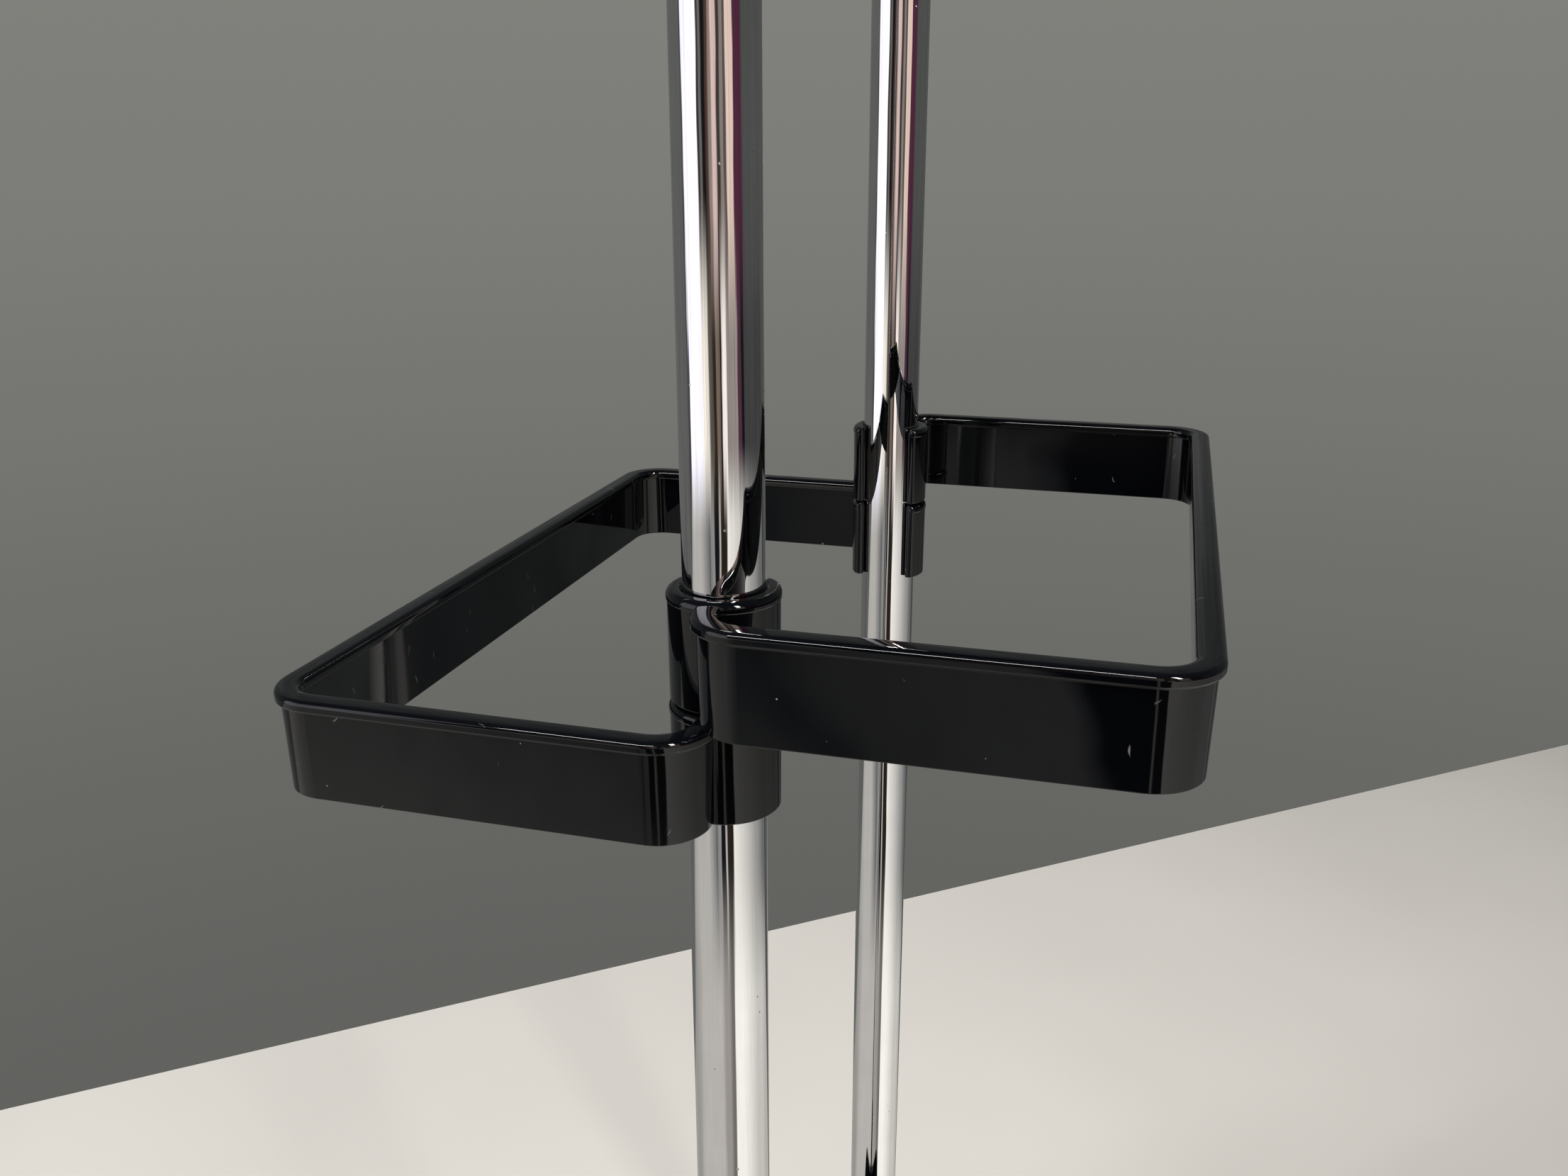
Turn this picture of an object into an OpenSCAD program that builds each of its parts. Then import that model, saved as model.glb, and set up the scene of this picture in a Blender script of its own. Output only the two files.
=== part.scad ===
// Two-post valet stand: a weighted tray base, two chromed posts, two clip-on trouser loops that
// slide on the posts, a jacket hanger across the post tops and an accessory tray on the hanger.
// Millimetres. Origin on the floor, midway between the posts. +Z up, front of the stand at -Y.

/* [Posts] */
// Outside diameter of each post tube
post_d = 25; // [24:0.5:27]
// Wall thickness of the post tube
post_wall = 1.2; // [1:0.1:2]
// Distance between the centres of the two posts
post_spacing = 250; // [230:1:300]
// Height of the post tops above the floor
post_top = 1100; // [1000:5:1200]

/* [Trouser loops] */
// Height of the loop's band and of its clips
band_h = 35; // [30:0.5:40]
// Thickness of the band at its lower edge
band_t = 3.4; // [3:0.1:4.4]
// Draft of each face of the band in degrees
band_draft = 1.2; // [0:0.1:1.5]
// Width of the rounded lip along the top edge
lip_w = 8.2; // [7:0.1:9]
// Height of the rounded lip
lip_h = 4.6; // [4:0.1:5.5]
// Distance from a post's centre out to the middle of the arm beside it
arm_offset = 33; // [32:0.5:40]
// Distance from the plane of the posts to the middle of the long bar
bar_offset = 139; // [100:1:160]
// Corner radius at the middle of the band
corner_r = 14.25; // [12:0.25:15]
// Height of the front loop's top edge above the floor
front_loop_top = 700; // [500:5:900]
// Height left between the clips of the two loops
loop_gap = 1; // [0.5:0.5:20]

/* [Clips] */
// Wall thickness of a clip
clip_wall = 4.65; // [4:0.05:5]
// Radial running clearance between a clip and its post
clip_clearance = 0.05; // [0.02:0.01:0.1]
// Angle that each half of a clip reaches round its post
clip_half_angle = 124; // [110:1:135]

/* [Base] */
// Width of the base at the middle of its rim
base_w = 336; // [320:1:400]
// Depth of the base at the middle of its rim
base_d = 288; // [285:1:330]
// Corner radius of the base at the middle of its rim
base_r = 36; // [20:1:50]
// Height of the rim of the base
base_h = 30; // [26:1:40]
// Gap between the rim's lower edge and the floor
base_gap = 2; // [1:0.5:4]
// Thickness of the steel ballast plate
ballast_t = 8; // [6:1:10]
// Thickness of the moulded floors of the base and of the tray
floor_t = 3; // [2.5:0.5:4]
// Height of the rubber feet
foot_h = 10; // [9:0.5:12]
// Radius of the rubber feet
foot_r = 14; // [10:0.5:16]

/* [Hanger and tray] */
// Width of the hanger from tip to tip
hanger_w = 440; // [410:1:470]
// Thickness of the hanger from front to back
hanger_d = 46; // [42:1:56]
// Depth of the hanger's side walls between the posts
hanger_h = 34; // [30:1:40]
// Wall thickness of the hanger
hanger_wall = 3; // [2.5:0.5:4]
// Angle by which each shoulder droops at its tip
shoulder_angle = 32; // [24:1:36]
// Width of the accessory tray at the middle of its rim
tray_w = 280; // [270:1:320]
// Depth of the accessory tray at the middle of its rim
tray_d = 112; // [90:1:140]
// Height of the accessory tray
tray_h = 20; // [16:1:26]

/* [Hidden] */
$fn = 64;

black_abs = [0.03, 0.03, 0.04];
chrome = [0.80, 0.80, 0.82];
zinc = [0.62, 0.63, 0.64];
dark_steel = [0.28, 0.29, 0.30];
rubber = [0.08, 0.08, 0.08];

eps = 0.01;
post_r = post_d / 2;
post_bore_r = post_r - post_wall;
post_x = post_spacing / 2;

arm_x = post_x + arm_offset;
clip_bore_r = post_r + clip_clearance;
clip_out_r = clip_bore_r + clip_wall;
clip_mid_r = clip_bore_r + clip_wall / 2;
clip_rim_r = clip_wall / 2;
web_start = post_x + clip_mid_r + 0.5;
front_loop_z = front_loop_top - band_h;
back_loop_z = front_loop_z - loop_gap - band_h;

// Levels of the base, from the floor up
plate_z = foot_h;
shell_floor_z = plate_z + ballast_t;
collar_z = shell_floor_z + floor_t;
plate_margin = 8;

// Where the feet stand, and their screws
foot_x = 130;
foot_y = 106;
foot_edge = 1.5;
foot_screw_r = 2;
foot_screw_head_r = 4;
foot_screw_head_h = 2.5;
foot_recess_h = 4;

// Bolts that hold the posts to the ballast plate
bolt_r = 4;
bolt_head_af = 13;
bolt_head_h = 5.3;
washer_r = 8;
washer_t = 1.6;
insert_l = 25;
insert_edge = 1;
bolt_reach = 20;

// Screws that hold the hanger to the posts and the tray to the hanger
hanger_screw_r = 3;
hanger_screw_head_r = 6;
hanger_screw_l = 22;
tray_screw_x = 62;
tray_screw_r = 2;
tray_screw_head_r = 4;
tray_screw_l = 15;
boss_r = 5;
boss_h = 11;
slot_w = 1.2;
slot_depth = 1;

// Shape of the hanger: the shoulders bend on arcs of shoulder_r that start at shoulder_x
shoulder_x = post_x + 21;
shoulder_edge_r = 8;
shoulder_r = (hanger_w / 2 - shoulder_x) / sin(shoulder_angle);
tip_angle = 1.2;
under_r = 260;
hanger_bottom = post_top - hanger_h + hanger_wall;
tray_z = post_top + hanger_wall;

// ---- shared shapes -------------------------------------------------------------------------

// Section of the moulded band: X outwards from the band's middle, Y up from its lower edge
module band_section(h) {
    lip_r = lip_h / 2;
    wide = band_t / 2 + (h - lip_h) * tan(band_draft);
    polygon([[-band_t / 2, 0], [band_t / 2, 0], [wide, h - lip_r], [-wide, h - lip_r]]);
    translate([0, h - lip_r]) {
        square([lip_w - lip_h, lip_h], center = true);
        for (side = [-1, 1]) translate([side * (lip_w - lip_h) / 2, 0]) circle(lip_r);
    }
}

// A straight run along +X of the section given as the child, its outer side at +Y
module straight_run(length) {
    rotate([90, 0, 90]) linear_extrude(length) children();
}

// A quarter bend about Z, from +X to +Y, of the section given as the child
module quarter_bend(r) {
    rotate_extrude(angle = 90) translate([r, 0]) children();
}

// The section given as the child, run round a rectangle w by d with corners of radius r
module rim_run(w, d, r) {
    for (half = [0, 180]) rotate([0, 0, half]) {
        translate([-(w / 2 - r), d / 2, 0]) straight_run(w - 2 * r) children();
        translate([w / 2, d / 2 - r, 0]) rotate([0, 0, -90]) straight_run(d - 2 * r) children();
        translate([w / 2 - r, d / 2 - r, 0]) quarter_bend(r) children();
        translate([-(w / 2 - r), d / 2 - r, 0]) rotate([0, 0, 90]) quarter_bend(r) children();
    }
}

module rounded_slab(w, d, r, h) {
    linear_extrude(h) {
        square([w - 2 * r, d], center = true);
        square([w, d - 2 * r], center = true);
        for (x = [-1, 1], y = [-1, 1]) translate([x * (w / 2 - r), y * (d / 2 - r)]) circle(r);
    }
}

// Section of a clip or collar: a wall that starts at radius bore_r, with a rounded rim on top
module clip_section(bore_r) {
    translate([bore_r, 0]) square([clip_wall, band_h - clip_rim_r]);
    translate([bore_r + clip_rim_r, band_h - clip_rim_r]) circle(clip_rim_r);
}

module slotted_countersunk_screw(r, head_r, length) {
    head_h = head_r - r;
    difference() {
        union() {
            translate([0, 0, -length]) cylinder(r = r, h = length - head_h);
            translate([0, 0, -head_h]) cylinder(r1 = r, r2 = head_r, h = head_h);
        }
        translate([-head_r, -slot_w / 2, -slot_depth]) cube([2 * head_r, slot_w, slot_depth + eps]);
    }
}

// ---- base ----------------------------------------------------------------------------------

module base_shell() {
    color(black_abs) difference() {
        union() {
            translate([0, 0, base_gap]) rim_run(base_w, base_d, base_r) band_section(base_h);
            translate([0, 0, shell_floor_z]) rounded_slab(base_w, base_d, base_r, floor_t);
        }
        for (side = [-1, 1]) translate([side * post_x, 0, shell_floor_z - 1])
            cylinder(r = post_r, h = floor_t + 2);
    }
}

module ballast_plate() {
    color(dark_steel) translate([0, 0, plate_z]) difference() {
        rounded_slab(base_w - 2 * plate_margin, base_d - 2 * plate_margin,
                     base_r - plate_margin, ballast_t);
        for (side = [-1, 1]) translate([side * post_x, 0, -1]) cylinder(r = bolt_r, h = ballast_t + 2);
        for (x = [-1, 1], y = [-1, 1]) translate([x * foot_x, y * foot_y, -1])
            cylinder(r = foot_screw_r, h = ballast_t + 2);
    }
}

module foot(x, y) {
    color(rubber) translate([x, y, 0]) rotate_extrude() polygon([
        [foot_screw_r, foot_recess_h], [foot_screw_head_r + 1, foot_recess_h],
        [foot_screw_head_r + 1, 0], [foot_r - foot_edge, 0], [foot_r, foot_edge],
        [foot_r, foot_h - foot_edge], [foot_r - foot_edge, foot_h], [foot_screw_r, foot_h]]);
}

module foot_screws() {
    color(zinc) for (x = [-1, 1], y = [-1, 1]) translate([x * foot_x, y * foot_y, 0]) {
        difference() {
            translate([0, 0, foot_recess_h - foot_screw_head_h])
                cylinder(r = foot_screw_head_r, h = foot_screw_head_h);
            translate([-foot_screw_head_r, -slot_w / 2, 0])
                cube([2 * foot_screw_head_r, slot_w, foot_recess_h - foot_screw_head_h + slot_depth]);
        }
        translate([0, 0, foot_recess_h])
            cylinder(r = foot_screw_r, h = plate_z + ballast_t - 1 - foot_recess_h);
    }
}

module base_bolts() {
    color(zinc) for (side = [-1, 1]) translate([side * post_x, 0, plate_z - washer_t]) {
        translate([0, 0, -bolt_head_h])
            cylinder(r = bolt_head_af / 2 / cos(30), h = bolt_head_h, $fn = 6);
        cylinder(r = bolt_r, h = washer_t + ballast_t + bolt_reach);
    }
}

module base_washers() {
    color(zinc) for (side = [-1, 1]) translate([side * post_x, 0, plate_z - washer_t]) difference() {
        cylinder(r = washer_r, h = washer_t);
        translate([0, 0, -1]) cylinder(r = bolt_r, h = washer_t + 2);
    }
}

// A steel plug pressed into the end of a post, with a blind threaded hole from its outer end
module post_insert(thread_r, thread_depth) {
    color(zinc) rotate_extrude() polygon([
        [thread_r, 0], [post_bore_r, 0], [post_bore_r, insert_l - insert_edge],
        [post_bore_r - insert_edge, insert_l], [0, insert_l], [0, thread_depth],
        [thread_r, thread_depth]]);
}

module lower_insert(side) {
    translate([side * post_x, 0, shell_floor_z]) post_insert(bolt_r, bolt_reach);
}

module base_collar(side) {
    color(black_abs) translate([side * post_x, 0, collar_z]) rotate_extrude() clip_section(post_r);
}

// ---- posts ---------------------------------------------------------------------------------

module post(side) {
    color(chrome) translate([side * post_x, 0, shell_floor_z]) difference() {
        cylinder(r = post_r, h = post_top - shell_floor_z);
        translate([0, 0, -1]) cylinder(r = post_bore_r, h = post_top - shell_floor_z + 2);
    }
}

// ---- trouser loops -------------------------------------------------------------------------

// An open spring clip round the origin, its mouth facing -X, with a rounded end on each jaw
module clip() {
    rotate([0, 0, -clip_half_angle]) rotate_extrude(angle = 2 * clip_half_angle)
        clip_section(clip_bore_r);
    for (jaw = [0, 1]) mirror([0, jaw, 0]) rotate([0, 0, clip_half_angle])
        translate([clip_mid_r, 0, 0]) rotate_extrude(angle = 180) intersection() {
            translate([-clip_rim_r, 0]) clip_section(0);
            square([clip_rim_r, band_h]);
        }
}

// Half of a loop that reaches towards -Y: clip, hooked arm and half of the long bar, at +X
module half_loop() {
    corner_x = arm_x - corner_r;
    corner_y = bar_offset - corner_r;
    translate([post_x, 0, 0]) clip();
    translate([web_start, 0, 0]) straight_run(corner_x - web_start) band_section(band_h);
    translate([corner_x, -corner_r, 0]) quarter_bend(corner_r) band_section(band_h);
    translate([arm_x, -corner_r, 0]) rotate([0, 0, -90])
        straight_run(corner_y - corner_r) band_section(band_h);
    translate([corner_x, -corner_y, 0]) rotate([0, 0, -90]) quarter_bend(corner_r)
        band_section(band_h);
    translate([corner_x, -bar_offset, 0]) rotate([0, 0, 180])
        straight_run(corner_x) band_section(band_h);
}

module trouser_loop() {
    color(black_abs) {
        half_loop();
        mirror([1, 0, 0]) half_loop();
    }
}

module front_trouser_loop() {
    translate([0, 0, front_loop_z]) trouser_loop();
}

module back_trouser_loop() {
    translate([0, 0, back_loop_z]) rotate([0, 0, 180]) trouser_loop();
}

// ---- hanger and tray -----------------------------------------------------------------------

module upper_insert(side) {
    translate([side * post_x, 0, post_top]) rotate([180, 0, 0])
        post_insert(hanger_screw_r, hanger_screw_l);
}

// The hanger's section, rounded along its top: X across, Y up from the lower edge of its sides
module hanger_section(width, depth, edge_r) {
    translate([-width / 2, -depth]) square([width, depth - edge_r]);
    translate([edge_r - width / 2, -edge_r]) square([width - 2 * edge_r, edge_r]);
    for (side = [-1, 1]) translate([side * (width / 2 - edge_r), -edge_r]) circle(edge_r);
}

// The hollow inside the hanger's section
module hollow_section(depth) {
    translate([0, -hanger_wall])
        hanger_section(hanger_d - 2 * hanger_wall, depth, shoulder_edge_r - hanger_wall);
}

// The section given as the child, swept down the arc of a shoulder between two angles
module shoulder_sweep(from, to) {
    rotate([0, from, 0]) rotate(a = -120, v = [1, 1, 1]) rotate_extrude(angle = to - from)
        translate([shoulder_r, 0]) mirror([1, -1]) children();
}

// A drooping shoulder at +X: a hollow arc, closed at its tip and trimmed to a curve below
module shoulder() {
    difference() {
        translate([shoulder_x, 0, -shoulder_r]) difference() {
            shoulder_sweep(0, shoulder_angle) hanger_section(hanger_d, 2 * hanger_h, shoulder_edge_r);
            shoulder_sweep(-tip_angle, shoulder_angle - tip_angle) hollow_section(2 * hanger_h);
        }
        translate([shoulder_x, 0, -hanger_h - under_r]) rotate([90, 0, 0])
            cylinder(r = under_r, h = 2 * hanger_d, center = true, $fn = 180);
    }
}

module hanger() {
    color(black_abs) translate([0, 0, post_top + hanger_wall]) difference() {
        union() {
            translate([-shoulder_x, 0, 0]) straight_run(2 * shoulder_x) difference() {
                hanger_section(hanger_d, hanger_h, shoulder_edge_r);
                hollow_section(hanger_h);
            }
            shoulder();
            mirror([1, 0, 0]) shoulder();
            for (side = [-1, 1]) {
                translate([side * post_x, 0, -hanger_h])
                    cylinder(r = clip_out_r, h = hanger_h - hanger_wall / 2);
                translate([side * tray_screw_x, 0, -hanger_wall - boss_h])
                    cylinder(r = boss_r, h = boss_h + hanger_wall / 2);
            }
        }
        for (side = [-1, 1]) {
            translate([side * post_x, 0, -hanger_h - 1]) cylinder(r = post_r, h = hanger_h + 1 - hanger_wall);
            translate([side * post_x, 0, -hanger_wall - 1]) cylinder(r = hanger_screw_r, h = hanger_wall + 2);
            translate([side * post_x, 0, hanger_screw_r - hanger_screw_head_r])
                cylinder(r1 = hanger_screw_r, r2 = hanger_screw_head_r,
                         h = hanger_screw_head_r - hanger_screw_r);
            translate([side * tray_screw_x, 0, -hanger_wall - boss_h - 1])
                cylinder(r = tray_screw_r, h = boss_h + hanger_wall + 2);
        }
    }
}

module hanger_screws() {
    color(zinc) for (side = [-1, 1]) translate([side * post_x, 0, post_top + hanger_wall])
        slotted_countersunk_screw(hanger_screw_r, hanger_screw_head_r, hanger_screw_l);
}

module accessory_tray() {
    color(black_abs) translate([0, 0, tray_z]) difference() {
        union() {
            rim_run(tray_w, tray_d, base_r - plate_margin) band_section(tray_h);
            rounded_slab(tray_w, tray_d, base_r - plate_margin, floor_t);
        }
        for (side = [-1, 1]) translate([side * tray_screw_x, 0, 0]) {
            translate([0, 0, -1]) cylinder(r = tray_screw_r, h = floor_t + 2);
            translate([0, 0, floor_t + tray_screw_r - tray_screw_head_r])
                cylinder(r1 = tray_screw_r, r2 = tray_screw_head_r, h = tray_screw_head_r - tray_screw_r);
        }
    }
}

module tray_screws() {
    color(zinc) for (side = [-1, 1]) translate([side * tray_screw_x, 0, tray_z + floor_t])
        slotted_countersunk_screw(tray_screw_r, tray_screw_head_r, tray_screw_l);
}

// ---- nodes ---------------------------------------------------------------------------------

base_shell();
ballast_plate();
foot(-foot_x, -foot_y);  // front_left_foot
foot(foot_x, -foot_y);  // front_right_foot
foot(-foot_x, foot_y);  // rear_left_foot
foot(foot_x, foot_y);  // rear_right_foot
foot_screws();
base_bolts();
base_washers();
lower_insert(-1);  // left_lower_insert
lower_insert(1);  // right_lower_insert
post(-1);  // left_post
post(1);  // right_post
base_collar(-1);  // left_base_collar
base_collar(1);  // right_base_collar
back_trouser_loop();
front_trouser_loop();
upper_insert(-1);  // left_upper_insert
upper_insert(1);  // right_upper_insert
hanger();
hanger_screws();
accessory_tray();
tray_screws();
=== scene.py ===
"""Looks of the valet stand: chromed posts, black mouldings, rubber feet and zinc-plated fasteners.

The lengths of the pieces are in millimetres, as in the part's own design, and mm() turns them into
Blender's metres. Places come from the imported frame's boxes. Materials, camera, lights and floor are
in metres.
"""
from math import ceil, cos, pi, radians, sin, sqrt, tan

import bmesh
import bpy
from mathutils import Matrix, Vector


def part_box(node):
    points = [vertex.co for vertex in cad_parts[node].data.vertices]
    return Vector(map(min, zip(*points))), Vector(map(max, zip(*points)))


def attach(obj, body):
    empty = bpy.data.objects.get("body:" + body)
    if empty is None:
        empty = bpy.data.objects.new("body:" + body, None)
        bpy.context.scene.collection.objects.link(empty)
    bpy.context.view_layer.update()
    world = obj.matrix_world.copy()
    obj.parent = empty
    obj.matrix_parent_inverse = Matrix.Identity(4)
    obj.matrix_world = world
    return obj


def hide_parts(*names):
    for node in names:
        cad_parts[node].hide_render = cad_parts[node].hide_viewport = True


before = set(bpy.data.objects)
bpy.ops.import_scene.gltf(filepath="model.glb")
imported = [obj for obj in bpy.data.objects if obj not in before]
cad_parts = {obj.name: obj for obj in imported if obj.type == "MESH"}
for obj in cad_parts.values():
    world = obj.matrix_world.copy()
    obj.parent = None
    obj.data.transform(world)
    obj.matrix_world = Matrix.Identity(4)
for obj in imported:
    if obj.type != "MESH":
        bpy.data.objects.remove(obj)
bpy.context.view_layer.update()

MM = 0.001
BEND_STEP = radians(5)     # largest turn between two stations on a bend
FILLET_STEP = radians(12)  # largest turn between two points on a rounded corner
CRISP_ANGLE = radians(32)  # edges sharper than this are shaded crisp


def mm(value):
    return value * MM


# ---- driving sizes, in millimetres, read off the frame where it shows them ----------------------

def box_mm(node):
    low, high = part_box(node)
    return low / MM, high / MM


post_low, post_high = box_mm("left_post")
POST_R = (post_high.x - post_low.x) / 2
POST_X = -(post_high.x + post_low.x) / 2
POST_WALL = 1.2
POST_BOTTOM, POST_TOP = post_low.z, post_high.z
SIDES = (-1, 1)
POST_PLACES = [(side * POST_X, 0) for side in SIDES]

loop_low, loop_high = box_mm("front_trouser_loop")
BAND_H = loop_high.z - loop_low.z
BAND_T = 3.4
BAND_DRAFT = radians(1.2)
BAND_EDGE_R = 0.5          # rounding of a band's lower edges
LIP_W = 8.2
LIP_H = 4.2
LIP_CROWN_R = 22           # the lip's top is slightly crowned
LIP_OUTER_R, LIP_INNER_R = 1.7, 2.2
LIP_OUTER_DROP, LIP_INNER_DROP = 0.35, 0.25
GROOVE_H = 0.5             # height of the shallow groove between the lip and the wall
GROOVE_OUTER, GROOVE_INNER = 0.45, 0.3
ARM_X = loop_high.x - LIP_W / 2
BAR_Y = -loop_low.y - LIP_W / 2
CORNER_R = 14.25
HOOK_SHIFT = 0.8           # the hook meets its clip this far off the clip's middle
RIM_PROUD = 0.6            # a clip's rim stands this far above the band's lip
CLIP_BORE_R = POST_R + 0.05
CLIP_WALL = 4.65
CLIP_HALF_ANGLE = radians(124)


# ---- small geometry kit --------------------------------------------------------------------------

def filleted(corners):
    """A closed outline from (x, y, radius) corners, each rounded by an arc of that radius."""
    outline = []
    count = len(corners)
    for i, (x, y, radius) in enumerate(corners):
        here = Vector((x, y))
        before = Vector(corners[i - 1][:2]) - here
        after = Vector(corners[(i + 1) % count][:2]) - here
        if radius <= 0:
            outline.append((x, y))
            continue
        before.normalize()
        after.normalize()
        half = before.angle(after) / 2
        reach = radius / tan(half)
        centre = here + (before + after).normalized() * radius / sin(half)
        start = here + before * reach - centre
        end = here + after * reach - centre
        turn = end.angle(start)
        sign = 1 if start.cross(end) > 0 else -1
        steps = max(3, ceil(turn / FILLET_STEP))
        for k in range(steps + 1):
            a = sign * turn * k / steps
            outline.append((centre.x + start.x * cos(a) - start.y * sin(a),
                            centre.y + start.x * sin(a) + start.y * cos(a)))
    return outline


def mesh_object(name, rings, closed, material):
    """A skin through rings of equally many points: closed into a loop of rings, or capped at its ends."""
    bm = bmesh.new()
    grid = [[bm.verts.new([mm(c) for c in point]) for point in ring] for ring in rings]
    count = len(rings[0])
    last = len(grid) if closed else len(grid) - 1
    for i in range(last):
        a, b = grid[i], grid[(i + 1) % len(grid)]
        for j in range(count):
            k = (j + 1) % count
            bm.faces.new((a[j], a[k], b[k], b[j]))
    if not closed:
        bm.faces.new(list(reversed(grid[0])))
        bm.faces.new(grid[-1])
    bmesh.ops.remove_doubles(bm, verts=bm.verts, dist=1e-7)
    bare = [edge for edge in bm.edges if not edge.link_faces]
    bmesh.ops.delete(bm, geom=bare, context="EDGES")
    bmesh.ops.recalc_face_normals(bm, faces=bm.faces)
    mesh = bpy.data.meshes.new(name)
    bm.to_mesh(mesh)
    bm.free()
    obj = bpy.data.objects.new(name, mesh)
    bpy.context.scene.collection.objects.link(obj)
    mesh.materials.append(material)
    return obj


def apply_modifiers(obj):
    """Bakes obj's modifiers into its mesh."""
    graph = bpy.context.evaluated_depsgraph_get()
    baked = bpy.data.meshes.new_from_object(obj.evaluated_get(graph))
    old = obj.data
    obj.modifiers.clear()
    obj.data = baked
    bpy.data.meshes.remove(old)


def boolean(obj, others, operation):
    """Unites obj with the others, or cuts them out of it, and removes them."""
    for other in others:
        change = obj.modifiers.new(operation, "BOOLEAN")
        change.operation = operation
        change.solver = "EXACT"
        change.object = other
        apply_modifiers(obj)
        tool = other.data
        bpy.data.objects.remove(other)
        bpy.data.meshes.remove(tool)
    return obj


def shade(obj):
    """Smooth shading that keeps flat faces flat and the sharper edges crisp."""
    obj.data.shade_smooth()
    obj.data.set_sharp_from_angle(angle=CRISP_ANGLE)
    weighted = obj.modifiers.new("weighted", "WEIGHTED_NORMAL")
    weighted.keep_sharp = True
    weighted.weight = 50
    apply_modifiers(obj)
    return obj


def show(obj, body, *nodes, slot):
    """Finishes a piece that stands for CAD nodes and moves with a body."""
    shade(obj)
    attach(obj, body)
    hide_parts(*nodes)
    return obj


def swept(name, profile, stations, material):
    """The profile (outward, up) swept along stations (x, y, outward angle, base height, width scale)."""
    rings = [[(x + u * s * cos(a), y + u * s * sin(a), z + w) for u, w in profile]
             for x, y, a, z, s in stations]
    return mesh_object(name, rings, False, material)


def lathe(name, profile, x, y, z, material, segments=96):
    """The closed profile (radius, height) turned round a vertical axis."""
    rings = [[(x + r * cos(a), y + r * sin(a), z + h) for r, h in profile]
             for a in (2 * pi * k / segments for k in range(segments))]
    return mesh_object(name, rings, True, material)


def arc_stations(x, y, radius, start, end, z):
    """Stations along an arc about (x, y), from angle start to angle end, outward along the radius."""
    steps = max(2, ceil(abs(end - start) / BEND_STEP))
    return [(x + radius * cos(a), y + radius * sin(a), a, z, 1.0)
            for a in (start + (end - start) * k / steps for k in range(steps + 1))]


def lip_corners(height):
    """Corners of a moulding's edge, from its wall's outer side (+) over the crowned lip to its inner."""
    under, slope, outer_rise = height - LIP_H, 0.1, 0.25
    wall, half = BAND_T / 2 + under * tan(BAND_DRAFT), LIP_W / 2
    return [
        (wall, under - GROOVE_H, 0.3), (wall + GROOVE_OUTER, under - slope, 0.25),
        (half, under + outer_rise, 0.9), (half, height - LIP_OUTER_DROP, LIP_OUTER_R),
        (0, height, LIP_CROWN_R),
        (-half, height - LIP_INNER_DROP, LIP_INNER_R), (-half, under + slope, 0.6),
        (-wall - GROOVE_INNER, under - slope, 0.2), (-wall, under - GROOVE_H, 0.3)]


def band_profile(height):
    """Section of a moulded band: a drafted wall under the lip, outer side at +."""
    side = BAND_T / 2
    return filleted([(-side, 0, BAND_EDGE_R), (side, 0, BAND_EDGE_R)] + lip_corners(height))


def rounded_box_ring(width, depth, corner, out, z):
    """A rounded rectangle moved outwards by out, at height z, always with the same number of points."""
    radius, steps = corner + out, 12
    ring = []
    for quarter, (sx, sy) in enumerate(((1, 1), (-1, 1), (-1, -1), (1, -1))):
        for k in range(steps + 1):
            a = pi / 2 * (quarter + k / steps)
            ring.append((sx * (width / 2 - corner) + radius * cos(a),
                         sy * (depth / 2 - corner) + radius * sin(a), z))
    return ring


def open_box(name, width, depth, corner, height, floor_low, floor_top, material):
    """A shallow moulded tray: the band run round a rounded rectangle, with a floor across it."""
    side, floor_rim = BAND_T / 2, 22   # the floor's rim reaches in this far, and flat caps close it
    skirt = [(-side, 0, BAND_EDGE_R), (-side, floor_low, BAND_EDGE_R)] if floor_low > 0 else []
    wall = filleted([(-floor_rim, floor_top, 0), (-side, floor_top, 1.2)] + lip_corners(height)[::-1]
                    + [(side, 0, BAND_EDGE_R)] + skirt + [(-floor_rim, floor_low, 0)])
    rings = [rounded_box_ring(width, depth, corner, out, z) for out, z in wall]
    return mesh_object(name, rings, False, material)


# ---- materials -----------------------------------------------------------------------------------

class NodeKit:
    """Short ways to add and join nodes in a node tree."""

    def __init__(self, tree):
        self.tree = tree

    def add(self, kind, inputs=None, **settings):
        """A new node: each input is linked when it is given a socket, and set when given a value."""
        node = self.tree.nodes.new(kind)
        for key, value in settings.items():
            setattr(node, key, value)
        for key, value in (inputs or {}).items():
            if isinstance(value, bpy.types.NodeSocket):
                self.tree.links.new(value, node.inputs[key])
            else:
                node.inputs[key].default_value = value
        return node

    def maths(self, operation, a, b=0.0, c=0.0):
        return self.add("ShaderNodeMath", {0: a, 1: b, 2: c}, operation=operation).outputs[0]

    def mix_colour(self, factor, a, b):
        return self.add("ShaderNodeMix", {0: factor, 6: a, 7: b}, data_type="RGBA").outputs[2]


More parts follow.
